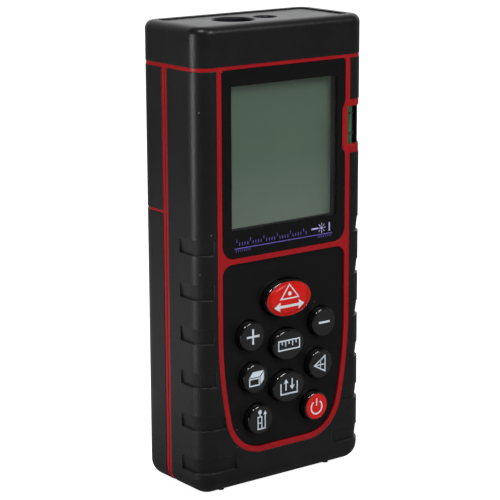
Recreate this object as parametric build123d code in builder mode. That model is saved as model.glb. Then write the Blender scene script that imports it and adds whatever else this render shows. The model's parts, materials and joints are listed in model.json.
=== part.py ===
"""Hand-held laser distance meter: a red two-part housing in black rubber armour, with its display,
nine keys, spirit vial, optics, circuit board and battery bay.

Millimetres. +Z runs up the body to the end the beam leaves, X is the width, and the display and keys
face -Y. The origin is the centre of the footprint, on the plane of the four feet.
"""

import os

from build123d import *

# ---------------------------------------------------------------- how pieces are cut and joined
over = 1.0                 # a cut runs this far past the face it opens
root = 0.5                 # a post or boss reaches this far into the wall it stands on
film_gap = 0.05            # between thin flat pieces that lie in each other
floor_skin = 0.2           # left in the front wall under a board post's hole

# ---------------------------------------------------------------- overall body
body_width = 50.0
body_depth = 24.5
body_height = 113.0
corner_radius = 4.4        # upright corners
base_round = 4.2           # lower edge
foot_height = 0.6
foot_root = 0.3            # a foot reaches this far into the base
foot_radius = 0.8
foot_inset = 8.7           # from the side to a foot's centre
foot_setback = 4.6         # from the front or back face to a foot's centre
proud_read = 1.5           # the measuring key, which also carries a low crown
proud_small = 1.5

front_y = (proud_read - body_depth) / 2
back_y = front_y + body_depth
mid_y = (front_y + back_y) / 2

# ---------------------------------------------------------------- walls and red lines
skin = 1.2                 # thickness of the rubber armour
wall_inset = 2.7           # from the body's surface to the cavity
line_sink = 0.1            # red lines lie this far below the armour
ring_drop = 10.25          # from the top to the lower edge of the red ring
ring_width = 0.95
seam_setback = 13.9        # from the front face to the parting plane of the housings
groove = 0.12              # half the width of the groove along it
bead_width = 1.05
frame_inset = 5.8          # from the side to the red frame's centre line
frame_line = 1.5
frame_turn_z = 40.0
frame_side_radius = 104.0
frame_side_angle = 12.4
frame_corner_radius = 10.06

# ---------------------------------------------------------------- display
window_low = 58.2
window_corner = 3.3
window_top_corner = 0.8
mask_sink = 0.05
mask_thickness = 0.1
pane_thickness = 1.0
mask_gap = 0.02
pane_gap = 0.08
view_half_width = 15.8
view_low = 64.8
view_high = 98.9
lcd_half_width = 16.5
lcd_low = 63.5
lcd_high = 100.2
lcd_setback = 2.9          # from the front face to the glass
lcd_thickness = 1.3
lcd_gap = 0.5
holder_setback = 0.2       # from the inside of the front wall to the display holder
holder_half_width = 17.3
holder_margin = 1.1
backlight_thickness = 0.5
gasket_margin = 0.1        # between the gasket and the edges of the opening
backlight_margin = 0.6

# ---------------------------------------------------------------- keys
keypad_top = 56.7
keypad_corner = 2.6
keypad_sink = 0.5
keypad_thickness = 1.2
keypad_ledge = 1.5
key_gap = 0.2
key_travel = 0.6
key_round = 0.45
flange_rest_gap = 0.1
flange_width = 0.7
flange_thickness = 0.5
stem_radius = 1.6
stem_setback = 2.95        # from the front face to the end of a key's stem
cap_thickness = 0.5
cap_margin = 0.4           # black rim left round a red key top
mat_gap = 0.05             # left between a pressed key and the mat
mat_thickness = 0.7
mat_half_width = 15.5
mat_low = 12.2
mat_high = 56.0
dome_radius = 2.2
dome_height = 0.4
keys = {                   # name: (x, z, width, height)
    "key_read": (0.0, 46.5, 14.0, 9.2),
    "key_plus": (-10.9, 38.8, 7.2, 7.2),
    "key_minus": (10.9, 38.8, 7.2, 7.2),
    "key_unit": (0.0, 35.0, 9.5, 7.5),
    "key_volume": (-10.0, 28.3, 7.2, 7.2),
    "key_triangle": (10.0, 28.3, 7.2, 7.2),
    "key_memory": (0.0, 24.4, 9.5, 7.6),
    "key_reference": (-8.6, 17.7, 7.2, 7.2),
    "key_off": (8.6, 17.7, 7.2, 7.2),
}

# ---------------------------------------------------------------- circuit board
board_setback = 4.8        # from the front face to the board
board_thickness = 1.0
board_half_width = 16.5
board_low = 6.5
board_high = 101.0
post_radius = 1.7
post_screw_radius = 0.8
post_screw_length = 2.4
post_head_radius = 1.5
post_head = 0.9
post_hole_gap = 0.2        # between a board screw and its hole in the board
boss_gap = 0.3             # between a housing boss and its hole in the board
posts = [(-14.4, 59.6), (14.4, 59.6), (-9.0, 9.3), (9.0, 9.3)]
chips = {                  # name: (x, z, width, height, thickness)
    "processor_chip": (-4.0, 64.0, 9.0, 9.0, 1.2),
    "memory_chip": (8.0, 64.0, 5.0, 6.0, 1.0),
    "regulator_chip": (13.0, 50.0, 4.0, 5.0, 1.2),
}
buzzer_x = 13.0
buzzer_z = 96.0
buzzer_radius = 4.6
buzzer_height = 2.4

# ---------------------------------------------------------------- grip notches
notch_count = 6
notch_low = 6.2
notch_pitch = 10.7
notch_height = 3.6
notch_deep = 0.55
notch_shallow = 0.15
notch_reach = 8.4          # back along the side, from the front face
notch_inset = [10.3, 7.0, 4.4, 4.0, 4.0, 4.0]

# ---------------------------------------------------------------- spirit vial
vial_inset = 4.6           # from the side to the vial's axis
vial_setback = 2.65        # from the front face to the vial's axis
vial_low = 78.5
vial_length = 16.5
vial_radius = 2.1
vial_bore = 1.65
vial_fit = 0.06
vial_cap = 1.1
tube_play = 0.1            # at each end of the tube
liquid_gap = 0.02
slot_radius = 1.2
slot_low_gap = 0.3         # liquid left under the bubble's path
slot_high_gap = 0.1
bubble_radius = 1.12
bubble_gap = 0.05          # between the bubble and the end of its path
niche_inset = 5.75
niche_low = 81.7
niche_high = 91.0
niche_depth = 4.3
rim_inset = 7.5
rim_low = 79.6
rim_high = 92.7
rim_depth = 5.9
rim_bevel_low = 1.4
rim_bevel_high = 2.3
holder_sink = 0.4
slot_inset = 2.5           # from the side to the slot in front of the tube
holder_gap = 0.05
holder_end = 0.9
holder_inset = 7.3
holder_depth = 5.4

# ---------------------------------------------------------------- top end
neck_inset = 1.65
neck_wall = 1.2
neck_drop = 3.4            # from the top to the neck's edge
cap_inset = 1.6
cap_round = 1.8
plate_inset = 3.2
plate_sink = 0.3
plate_thickness = 1.2
plate_fit = 0.08
cap_lip = 1.0              # the ledge that the aperture plate lies on
cap_roof = 1.4
optics_y = mid_y
receive_x = -6.1
receive_aperture = 5.05
laser_x = 3.4
laser_aperture = 2.8
aperture_bevel = 0.35

# ---------------------------------------------------------------- optics
seat_fit = 0.04
barrel_radius = 6.1
barrel_drop = 1.7          # from the top to the barrels' mouths
barrel_length = 39.3
lens_radius = 5.3
lens_edge = 1.4
lens_dome_radius = 4.5
lens_rise = 1.1
lens_depth = 3.4           # from a barrel's mouth to the lens seat
retainer_height = 1.4
retainer_gap = 0.1
cone_low_radius = 2.0
cone_high_radius = 4.9
cone_length = 30.9
photodiode_radius = 1.8
photodiode_lift = 1.0      # from the barrel's end to the photodiode
photodiode_drop = 0.2      # from the photodiode to the cone
module_lift = 1.0          # from the laser barrel's end to the module
laser_barrel_radius = 3.3
laser_bore = 2.65
laser_length = 23.3
module_depth = 3.7
collimator_thickness = 1.2
laser_window_thickness = 0.8
web_half = 1.4
shield_half = 6.0
shield_gap = 0.1           # above and below the receiver's shield

# ---------------------------------------------------------------- battery bay and door
door_top = 67.9
door_wall = 1.5
door_gap = 0.1
shelf_inset = 1.75
shelf_wall = 1.2
shelf_setback = 3.15       # from the back face to the open edge of the shelf
rib_high = 68.65
partition_thickness = 1.5
tray_half_width = 12.4
tray_gap = 3.7             # from the board to the tray
tray_wall = 1.2
tray_low = 5.6
cell_radius = 5.25
cell_x = 5.6
cell_setback = 7.25        # from the back face to a cell's axis
cell_length = 44.5
cell_nub_radius = 2.3
cell_nub = 0.9
cell_edge = 0.5
plate_contact = 0.4
contact_half = 4.0
wire_radius = 0.3
coil_radius = 2.4
coil_turns = 4
coil_length = 5.0
coil_slope = 0.15          # of the wire where the coil starts
recess_width = 22.0
recess_height = 9.0
recess_depth = 0.6
recess_z = 60.0
recess_bars = 4
label_half_width = 17.0
label_low = 74.0
label_high = 98.0
label_sink = 0.3
label_thickness = 0.25
label_corner = 1.5

# ---------------------------------------------------------------- housing screws
boss_radius = 2.3
web_inset = 2.4            # a boss's web reaches into the side wall
upper_screw_inset = 5.4
upper_screw_drop = 3.1     # below the red ring
lower_screw_inset = 7.4
lower_screw_z = 9.3
screw_radius = 0.95
screw_fit = 0.03
screw_head_radius = 1.8
screw_head_gap = 0.1
screw_head = 1.2
screw_length = 9.0
screw_head_depth = 2.25    # from the parting plane to the screw's seat
socket_radius = 0.7
socket_depth = 0.7

# ---------------------------------------------------------------- places that follow from the sizes
half_width = body_width / 2
seam_y = front_y + seam_setback
foot_x = half_width - foot_inset
ring_low = body_height - ring_drop
ring_high = ring_low + ring_width
frame_half_width = half_width - frame_inset
mask_y = front_y + mask_sink
mask_back_y = mask_y + mask_thickness
pane_y = mask_back_y + mask_gap
pocket_y = pane_y + pane_thickness
keypad_y = front_y + keypad_sink
keypad_back_y = keypad_y + keypad_thickness
cavity_y = front_y + wall_inset
lcd_front_y = front_y + lcd_setback
lcd_back_y = lcd_front_y + lcd_thickness
board_y = front_y + board_setback
board_back_y = board_y + board_thickness
flange_y = keypad_back_y + flange_rest_gap
stem_end_y = front_y + stem_setback
mat_front_y = stem_end_y + key_travel + mat_gap
notch_back_y = front_y + notch_reach
vial_x = half_width - vial_inset
vial_y = front_y + vial_setback
vial_high = vial_low + vial_length
niche_x = half_width - niche_inset
niche_back_y = front_y + niche_depth
rim_x = half_width - rim_inset
rim_back_y = front_y + rim_depth
slot_right_x = half_width - slot_inset
holder_x = half_width - holder_inset
holder_back_y = front_y + holder_depth
neck_high = body_height - neck_drop
barrel_high = body_height - barrel_drop
barrel_low = barrel_high - barrel_length
lens_z = barrel_high - lens_depth
cone_low = lens_z - cone_length
laser_low = barrel_high - laser_length
module_high = barrel_high - module_depth
door_y = seam_y + bead_width + door_gap
shelf_back_y = back_y - shelf_setback
tray_front_y = board_back_y + tray_gap
cell_y = back_y - cell_setback
upper_screw_x = half_width - upper_screw_inset
upper_screw_z = ring_low - upper_screw_drop
lower_screw_x = half_width - lower_screw_inset
screws = [
    (-upper_screw_x, upper_screw_z),
    (upper_screw_x, upper_screw_z),
    (-lower_screw_x, lower_screw_z),
    (lower_screw_x, lower_screw_z),
]
web_x = half_width - web_inset
screw_head_y = seam_y + screw_head_depth
plate_top = body_height - plate_sink
plate_low = plate_top - plate_thickness
holder_front_y = cavity_y + holder_setback
partition_low = door_top + door_gap
shield_low = partition_low + partition_thickness + shield_gap
shield_high = barrel_low - shield_gap
contact_low = tray_low + tray_wall
cell_low = contact_low + plate_contact + coil_length
cell_high = cell_low + cell_length
nub_high = cell_high + cell_nub
tray_high = nub_high + plate_contact + tray_wall
tray_mid_z = (tray_low + tray_high) / 2
tube_low = vial_low + tube_play
tube_high = vial_high - tube_play
liquid_low = tube_low + vial_cap
liquid_high = tube_high - vial_cap
slot_high = liquid_high - slot_high_gap
far = body_height + 20.0


# ---------------------------------------------------------------- shared shapes
def facing(y):
    """The plane at depth y that faces the front: its x is X and its y is Z."""
    return Plane.XZ.offset(-y)


def block(inset, low, high):
    """The body's outline inset all round, from low (or the rounded base if None) up to high."""
    start = foot_height + inset if low is None else low
    with BuildPart() as shape:
        with BuildSketch(Plane.XY.offset(start)):
            with Locations((0, mid_y)):
                RectangleRounded(
                    body_width - 2 * inset, body_depth - 2 * inset, corner_radius - inset
                )
        extrude(amount=high - start)
        if low is None:
            fillet(shape.faces().sort_by(Axis.Z)[0].edges(), radius=base_round - inset)
    return shape.part


def box_between(low, high):
    """A box between two corners."""
    centre = [(a + b) / 2 for a, b in zip(low, high)]
    return Pos(*centre) * Box(*[b - a for a, b in zip(low, high)], mode=Mode.PRIVATE)


def rod(x, z, radius, near_y, far_y):
    """A round rod along Y."""
    with BuildPart() as shape:
        with BuildSketch(facing(near_y)):
            with Locations((x, z)):
                Circle(radius)
        extrude(amount=near_y - far_y)
    return shape.part


def pillar(x, y, radius, low, high):
    """A round pillar along Z."""
    with BuildPart() as shape:
        with BuildSketch(Plane.XY.offset(low)):
            with Locations((x, y)):
                Circle(radius)
        extrude(amount=high - low)
    return shape.part


def frame_outline(grow):
    """Everything inside the red frame's centre line, grown by grow, in X and Z."""
    half = frame_half_width + grow
    high = ring_low + grow
    with BuildSketch() as outline:
        with BuildLine():
            top = Line((0, high), (half, high))
            side = Line(top @ 1, (half, frame_turn_z))
            taper = JernArc(side @ 1, side % 1, frame_side_radius + grow, -frame_side_angle)
            turn = JernArc(taper @ 1, taper % 1, frame_corner_radius + grow, frame_side_angle - 90)
            Line(turn @ 1, (0, (turn @ 1).Y))
            mirror(about=Plane.YZ)
        make_face()
    return outline.sketch


def window_outline(grow):
    """The display pane's outline, with the step that makes room for the vial's rim."""
    half = frame_half_width - frame_line / 2
    with BuildSketch() as outline:
        with BuildLine():
            Polyline(
                (-half, window_low),
                (half, window_low),
                (half, rim_low),
                (rim_x, rim_low + rim_bevel_low),
                (rim_x, rim_high - rim_bevel_high),
                (half, rim_high),
                (half, ring_low),
                (-half, ring_low),
                close=True,
            )
        make_face()
        fillet(outline.vertices().group_by(Axis.Y)[0], radius=window_corner)
        fillet(outline.vertices().group_by(Axis.Y)[-1], radius=window_top_corner)
        if grow:
            offset(amount=grow, kind=Kind.INTERSECTION)
    return outline.sketch


def keypad_outline(grow):
    """The keypad's outline, inside the lower part of the red frame, grown by grow."""
    with BuildSketch() as outline:
        add(frame_outline(grow - frame_line / 2))
        with Locations((0, keypad_top + grow + far / 2)):
            Rectangle(body_width, far, mode=Mode.SUBTRACT)
        fillet(outline.vertices().group_by(Axis.Y)[-1], radius=keypad_corner + grow)
    return outline.sketch


def key_outline(name, grow):
    """One key's outline, grown by grow."""
    x, z, width, height = keys[name]
    with BuildSketch() as outline:
        with Locations((x, z)):
            if width == height:
                Circle(width / 2 + grow)
            else:
                Ellipse(width / 2 + grow, height / 2 + grow)
    return outline.sketch


def rectangle_outline(half_width, low, high):
    """An upright rectangle about X = 0."""
    with BuildSketch() as outline:
        with Locations((0, (low + high) / 2)):
            Rectangle(2 * half_width, high - low)
    return outline.sketch


def slab(outline, near_y, far_y):
    """An outline in X and Z made solid between two depths, nearer first."""
    with BuildPart() as shape:
        with BuildSketch(facing(near_y)):
            add(outline)
        extrude(amount=near_y - far_y)
    return shape.part


def notch(step):
    """One grip notch on the +X side: a ledge below and a slope that runs out above it."""
    low = notch_low + step * notch_pitch
    high = low + notch_height
    with BuildPart() as kept:
        with BuildSketch(Plane.XY.offset(low)):
            with Locations((0, mid_y)):
                RectangleRounded(
                    body_width - 2 * notch_deep,
                    body_depth - 2 * notch_deep,
                    corner_radius - notch_deep,
                )
        with BuildSketch(Plane.XY.offset(high)):
            with Locations((0, mid_y)):
                RectangleRounded(
                    body_width - 2 * notch_shallow,
                    body_depth - 2 * notch_shallow,
                    corner_radius - notch_shallow,
                )
        loft()
    near_x = half_width - notch_inset[step]
    return box_between((near_x, front_y - over, low), (far, notch_back_y, high)) - kept.part


def save(shape, name):
    """Labels a finished piece and writes its STEP file."""
    shape.label = name
    export_step(shape, f"parts/{name}.step")


os.makedirs("parts", exist_ok=True)
outer = block(0, None, ring_low)
lines = block(line_sink, None, ring_high)
core = block(skin, None, ring_high)
cavity = block(wall_inset, None, ring_high)
front_half = box_between((-far, -far, -far), (far, seam_y, far))
rear_half = box_between((-far, seam_y, -far), (far, far, far))
ring_wall = block(skin, ring_low, ring_high) - block(neck_inset + neck_wall, ring_low, ring_high)
ring_space = box_between((-far, -far, ring_low), (far, far, far))
rim_space = box_between((rim_x, front_y - over, rim_low), (far, rim_back_y, rim_high))
niche_space = box_between((niche_x, front_y - over, niche_low), (far, niche_back_y, niche_high))
vial_hole = pillar(vial_x, vial_y, vial_radius + vial_fit, vial_low, vial_high)

# ---------------------------------------------------------------- front housing
with BuildPart() as front_space:
    add(ring_space)
    add(box_between((-far, seam_y - bead_width, -far), (far, seam_y - groove, far)))
    add(slab(frame_outline(frame_line / 2), front_y - over, cavity_y))
    add(rim_space)

with BuildPart() as neck:
    add(block(neck_inset, ring_high, neck_high))
    add(block(neck_inset + neck_wall, ring_high, neck_high), mode=Mode.SUBTRACT)

with BuildPart() as front_shell:
    add(lines)
    add(core, mode=Mode.SUBTRACT)
    add(front_space.part, mode=Mode.INTERSECT)
    add(core - cavity)
    add(ring_wall)
    add(neck.part)
    add(front_half, mode=Mode.INTERSECT)
    for x, z in posts:
        add(rod(x, z, post_radius, cavity_y - root, board_y))
    for x, z in screws:
        add(rod(x, z, boss_radius, cavity_y - root, seam_y))
    add(slab(window_outline(pane_gap), front_y - over, pocket_y), mode=Mode.SUBTRACT)
    add(
        slab(
            rectangle_outline(lcd_half_width + lcd_gap, lcd_low - lcd_gap, lcd_high + lcd_gap),
            front_y - over,
            cavity_y + over,
        ),
        mode=Mode.SUBTRACT,
    )
    add(slab(keypad_outline(pane_gap), front_y - over, keypad_back_y), mode=Mode.SUBTRACT)
    add(slab(keypad_outline(-keypad_ledge), front_y - over, cavity_y + over), mode=Mode.SUBTRACT)
    add(niche_space, mode=Mode.SUBTRACT)
    add(vial_hole, mode=Mode.SUBTRACT)
    for x, z in posts:
        add(rod(x, z, post_screw_radius, cavity_y + floor_skin, board_y + over), mode=Mode.SUBTRACT)
    for x, z in screws:
        add(rod(x, z, screw_radius + screw_fit, cavity_y + over, seam_y + over), mode=Mode.SUBTRACT)
save(front_shell.part, "front_shell")

# ---------------------------------------------------------------- grip notches and front armour
notch_cuts = [notch(step) for step in range(notch_count)]
with BuildPart() as notches:
    for cut in notch_cuts:
        add(cut)
    mirror(about=Plane.YZ)

with BuildPart() as front_grip:
    add(outer)
    add(core, mode=Mode.SUBTRACT)
    add(box_between((-far, -far, -far), (far, seam_y - bead_width, far)), mode=Mode.INTERSECT)
    add(slab(frame_outline(frame_line / 2), front_y - over, cavity_y), mode=Mode.SUBTRACT)
    add(rim_space, mode=Mode.SUBTRACT)
    add(notches.part, mode=Mode.SUBTRACT)
    add(vial_hole, mode=Mode.SUBTRACT)
    for x in (-foot_x, foot_x):
        add(pillar(x, front_y + foot_setback, foot_radius, 0, foot_height + foot_root))
save(front_grip.part, "front_grip")

# ---------------------------------------------------------------- rear housing
with BuildPart() as rear_band_space:
    add(ring_space)
    add(box_between((-far, seam_y + groove, -far), (far, seam_y + bead_width, far)))
    add(box_between((-far, seam_y, partition_low), (far, far, rib_high)))

with BuildPart() as rear_bands:
    add(lines)
    add(core, mode=Mode.SUBTRACT)
    add(rear_band_space.part, mode=Mode.INTERSECT)

with BuildPart() as rear_wall_space:
    add(box_between((-far, seam_y, -far), (far, seam_y + bead_width, far)))
    add(box_between((-far, seam_y, partition_low), (far, far, far)))

with BuildPart() as rear_wall:
    add(core)
    add(cavity, mode=Mode.SUBTRACT)
    add(rear_wall_space.part, mode=Mode.INTERSECT)

with BuildPart() as shelf:
    add(block(shelf_inset, None, rib_high))
    add(block(shelf_inset + shelf_wall, None, rib_high), mode=Mode.SUBTRACT)
    add(box_between((-far, seam_y, -far), (far, shelf_back_y, far)), mode=Mode.INTERSECT)

with BuildPart() as partition:
    add(block(skin, partition_low, partition_low + partition_thickness))
    add(rear_half, mode=Mode.INTERSECT)

with BuildPart() as rear_shell:
    add(rear_bands.part)
    add(rear_wall.part)
    add(shelf.part)
    add(partition.part)
    add(ring_wall)
    add(neck.part)
    add(rear_half, mode=Mode.INTERSECT)
    for x, z in screws:
        add(rod(x, z, boss_radius, seam_y, screw_head_y))
        side = 1 if x > 0 else -1
        web = sorted((x, side * web_x))
        add(box_between((web[0], seam_y, z - web_half), (web[1], screw_head_y, z + web_half)))
    for x, z in screws:
        add(rod(x, z, screw_radius + screw_fit, seam_y - over, far), mode=Mode.SUBTRACT)
        add(rod(x, z, screw_head_radius + screw_head_gap, screw_head_y, far), mode=Mode.SUBTRACT)
save(rear_shell.part, "rear_shell")

# ---------------------------------------------------------------- rear armour and rating label
with BuildPart() as rear_grip:
    add(outer)
    add(core, mode=Mode.SUBTRACT)
    add(box_between((-far, seam_y + bead_width, rib_high), (far, far, far)), mode=Mode.INTERSECT)
    with BuildSketch(facing(back_y + over)):
        with Locations((0, (label_low + label_high) / 2)):
            RectangleRounded(
                2 * (label_half_width + pane_gap),
                label_high - label_low + 2 * pane_gap,
                label_corner,
            )
    extrude(amount=over + label_sink, mode=Mode.SUBTRACT)
save(rear_grip.part, "rear_grip")

with BuildPart() as rating_label:
    with BuildSketch(facing(back_y - label_sink + label_thickness)):
        with Locations((0, (label_low + label_high) / 2)):
            RectangleRounded(2 * label_half_width, label_high - label_low, label_corner)
    extrude(amount=label_thickness)
save(rating_label.part, "rating_label")

# ---------------------------------------------------------------- battery door
with BuildPart() as battery_door:
    add(block(0, None, door_top))
    add(block(door_wall, None, far), mode=Mode.SUBTRACT)
    add(box_between((-far, door_y, -far), (far, far, far)), mode=Mode.INTERSECT)
    with BuildSketch(facing(back_y + over)):
        with Locations((0, recess_z)):
            Ellipse(recess_width / 2, recess_height / 2)
    extrude(amount=over + recess_depth, mode=Mode.SUBTRACT)
    with BuildSketch(facing(back_y - recess_depth / 3)):
        with Locations((0, recess_z)):
            with GridLocations(0, recess_height / (recess_bars + 1), 1, recess_bars):
                Rectangle(recess_width / 2, recess_height / (recess_bars + 1) / 2)
    extrude(amount=recess_depth)
    for x in (-foot_x, foot_x):
        add(pillar(x, back_y - foot_setback, foot_radius, 0, foot_height + foot_root))
save(battery_door.part, "battery_door")

# ---------------------------------------------------------------- end cap and aperture plate
with BuildPart() as end_cap:
    add(block(0, ring_high, body_height))
    fillet(end_cap.faces().sort_by(Axis.Z)[-1].edges(), radius=cap_round)
    add(block(cap_inset, ring_high, plate_low - cap_roof), mode=Mode.SUBTRACT)
    add(block(plate_inset, plate_low, far), mode=Mode.SUBTRACT)
    add(block(plate_inset + cap_lip, ring_high, far), mode=Mode.SUBTRACT)
save(end_cap.part, "end_cap")

with BuildPart() as end_plate:
    add(block(plate_inset + plate_fit, plate_low, plate_top))
    for x, radius in ((receive_x, receive_aperture), (laser_x, laser_aperture)):
        add(pillar(x, optics_y, radius, plate_low - over, far), mode=Mode.SUBTRACT)
    rims = end_plate.edges().filter_by(GeomType.CIRCLE).filter_by_position(
        Axis.Z, plate_top - film_gap, plate_top + film_gap
    )
    chamfer(rims.filter_by(lambda edge: edge.length > 10), length=aperture_bevel)
save(end_plate.part, "end_plate")

# ---------------------------------------------------------------- optics
with BuildPart() as optics_block:
    add(pillar(receive_x, optics_y, barrel_radius, barrel_low, barrel_high))
    add(pillar(laser_x, optics_y, laser_barrel_radius, laser_low, barrel_high))
    add(
        box_between(
            (receive_x, optics_y - web_half, laser_low),
            (laser_x, optics_y + web_half, barrel_high),
        )
    )
    add(pillar(receive_x, optics_y, lens_radius + seat_fit, lens_z, far), mode=Mode.SUBTRACT)
    add(pillar(laser_x, optics_y, laser_bore, laser_low - over, far), mode=Mode.SUBTRACT)
    with BuildSketch(Plane.XY.offset(cone_low)):
        with Locations((receive_x, optics_y)):
            Circle(cone_low_radius)
    with BuildSketch(Plane.XY.offset(lens_z)):
        with Locations((receive_x, optics_y)):
            Circle(cone_high_radius)
    loft(mode=Mode.SUBTRACT)
    add(
        pillar(receive_x, optics_y, photodiode_radius + seat_fit, barrel_low - over, cone_low + over),
        mode=Mode.SUBTRACT,
    )
save(optics_block.part, "optics_block")

dome_sphere = (lens_dome_radius**2 + lens_rise**2) / (2 * lens_rise)
with BuildPart() as lens_dome:
    with Locations((0, 0, lens_edge + lens_rise - dome_sphere)):
        Sphere(dome_sphere)
    add(pillar(0, 0, lens_dome_radius, lens_edge, far), mode=Mode.INTERSECT)
with BuildPart() as receiver_lens:
    add(pillar(0, 0, lens_radius, 0, lens_edge))
    add(lens_dome.part)
save(Pos(receive_x, optics_y, lens_z) * receiver_lens.part, "receiver_lens")

with BuildPart() as lens_ring:
    with Locations((receive_x, optics_y, lens_z + lens_edge + retainer_height / 2)):
        Cylinder(lens_radius, retainer_height)
        Cylinder(lens_dome_radius + retainer_gap, retainer_height, mode=Mode.SUBTRACT)
save(lens_ring.part, "lens_ring")

photodiode = pillar(
    receive_x,
    optics_y,
    photodiode_radius,
    barrel_low + photodiode_lift,
    cone_low - photodiode_drop,
)
save(photodiode, "photodiode")
laser_module = pillar(laser_x, optics_y, laser_bore - seat_fit, laser_low + module_lift, module_high)
save(laser_module, "laser_module")
collimator = pillar(
    laser_x, optics_y, laser_bore - seat_fit, module_high, module_high + collimator_thickness
)
save(collimator, "collimator_lens")
laser_window = pillar(
    laser_x,
    optics_y,
    laser_bore - seat_fit,
    barrel_high - laser_window_thickness,
    barrel_high,
)
save(laser_window, "laser_window")

with BuildPart() as receiver_shield:
    add(
        box_between(
            (receive_x - shield_half, board_back_y, shield_low),
            (receive_x + shield_half, mid_y + barrel_radius, shield_high),
        )
    )
save(receiver_shield.part, "receiver_shield")

# ---------------------------------------------------------------- display
save(slab(window_outline(0), pane_y, pocket_y), "display_window")
with BuildPart() as window_mask:
    add(slab(window_outline(0), mask_y, mask_back_y))
    add(
        slab(rectangle_outline(view_half_width, view_low, view_high), mask_y - over, pocket_y),
        mode=Mode.SUBTRACT,
    )
save(window_mask.part, "window_mask")

with BuildPart() as window_gasket:
    add(
        slab(
            rectangle_outline(
                lcd_half_width + lcd_gap - gasket_margin,
                lcd_low - lcd_gap + gasket_margin,
                lcd_high + lcd_gap - gasket_margin,
            ),
            pocket_y,
            lcd_front_y,
        )
    )
    add(
        slab(
            rectangle_outline(view_half_width, view_low, view_high),
            pocket_y - over,
            lcd_front_y + over,
        ),
        mode=Mode.SUBTRACT,
    )
save(window_gasket.part, "window_gasket")
glass = slab(rectangle_outline(lcd_half_width, lcd_low, lcd_high), lcd_front_y, lcd_back_y)
save(glass, "lcd_glass")

with BuildPart() as lcd_frame:
    outer_low = lcd_low - holder_margin
    outer_high = lcd_high + holder_margin
    add(slab(rectangle_outline(holder_half_width, outer_low, outer_high), holder_front_y, board_y))
    add(
        slab(
            rectangle_outline(lcd_half_width + film_gap, lcd_low - film_gap, lcd_high + film_gap),
            cavity_y,
            lcd_back_y,
        ),
        mode=Mode.SUBTRACT,
    )
    add(
        slab(
            rectangle_outline(
                lcd_half_width - backlight_margin,
                lcd_low + backlight_margin,
                lcd_high - backlight_margin,
            ),
            cavity_y,
            board_y + over,
        ),
        mode=Mode.SUBTRACT,
    )
save(lcd_frame.part, "lcd_frame")
backlight = slab(
    rectangle_outline(
        lcd_half_width - backlight_margin - film_gap,
        lcd_low + backlight_margin + film_gap,
        lcd_high - backlight_margin - film_gap,
    ),
    lcd_back_y,
    lcd_back_y + backlight_thickness,
)
save(backlight, "backlight")

# ---------------------------------------------------------------- keypad and keys
with BuildPart() as keypad_plate:
    add(slab(keypad_outline(0), keypad_y, keypad_back_y))
    for name in keys:
        hole = slab(key_outline(name, key_gap), keypad_y - over, keypad_back_y + over)
        add(hole, mode=Mode.SUBTRACT)
save(keypad_plate.part, "keypad_plate")

for name, (x, z, width, height) in keys.items():
    is_read = name == "key_read"
    is_capped = name in ("key_read", "key_off")
    top_y = front_y - (proud_read if is_read else proud_small)
    with BuildPart() as key:
        add(slab(key_outline(name, 0), top_y, flange_y + flange_thickness))
        fillet(key.faces().sort_by(Axis.Y)[0].edges(), radius=key_round)
        add(slab(key_outline(name, flange_width), flange_y, flange_y + flange_thickness))
        add(rod(x, z, stem_radius, flange_y, stem_end_y))
    if is_capped:
        cap_space = slab(key_outline(name, -cap_margin), top_y - over, top_y + cap_thickness)
        save(key.part & cap_space, name.replace("key_", "cap_"))
        save(key.part - cap_space, name)
    else:
        save(key.part, name)

mat_outline = rectangle_outline(mat_half_width, mat_low, mat_high)
save(slab(mat_outline, mat_front_y, mat_front_y + mat_thickness), "keypad_mat")

with BuildPart() as key_domes:
    for x, z, width, height in keys.values():
        add(rod(x, z, dome_radius, board_y - dome_height, board_y))
save(key_domes.part, "key_domes")

# ---------------------------------------------------------------- circuit board
with BuildPart() as main_board:
    add(slab(rectangle_outline(board_half_width, board_low, board_high), board_y, board_back_y))
    for x, z in posts:
        hole = rod(x, z, post_screw_radius + post_hole_gap, board_y - over, board_back_y + over)
        add(hole, mode=Mode.SUBTRACT)
    for x, z in screws[2:]:
        hole = rod(x, z, boss_radius + boss_gap, board_y - over, board_back_y + over)
        add(hole, mode=Mode.SUBTRACT)
save(main_board.part, "main_board")

for name, (x, z, width, height, thickness) in chips.items():
    chip = box_between(
        (x - width / 2, board_back_y, z - height / 2),
        (x + width / 2, board_back_y + thickness, z + height / 2),
    )
    save(chip, name)
save(rod(buzzer_x, buzzer_z, buzzer_radius, board_back_y, board_back_y + buzzer_height), "buzzer")

with BuildPart() as board_screws:
    for x, z in posts:
        shank = post_screw_radius - screw_fit
        add(rod(x, z, shank, board_back_y - post_screw_length, board_back_y))
        add(rod(x, z, post_head_radius, board_back_y, board_back_y + post_head))
save(board_screws.part, "board_screws")

with BuildPart() as case_screws:
    for x, z in screws:
        add(rod(x, z, screw_radius, screw_head_y - screw_length, screw_head_y))
        add(rod(x, z, screw_head_radius, screw_head_y, screw_head_y + screw_head))
        add(
            rod(x, z, socket_radius, screw_head_y + screw_head - socket_depth, far),
            mode=Mode.SUBTRACT,
        )
save(case_screws.part, "case_screws")

# ---------------------------------------------------------------- batteries
with BuildPart() as battery_tray:
    add(
        box_between(
            (-tray_half_width, tray_front_y, tray_low),
            (tray_half_width, shelf_back_y, tray_high),
        )
    )
    add(
        box_between(
            (-tray_half_width + tray_wall, tray_front_y + tray_wall, tray_low + tray_wall),
            (tray_half_width - tray_wall, far, tray_high - tray_wall),
        ),
        mode=Mode.SUBTRACT,
    )
save(battery_tray.part, "battery_tray")


def other_side(shape):
    """The same piece for the second cell, which lies the other way up."""
    flip = Pos(0, cell_y, tray_mid_z) * Rot(0, 180, 0) * Pos(0, -cell_y, -tray_mid_z)
    return flip * shape


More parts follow.
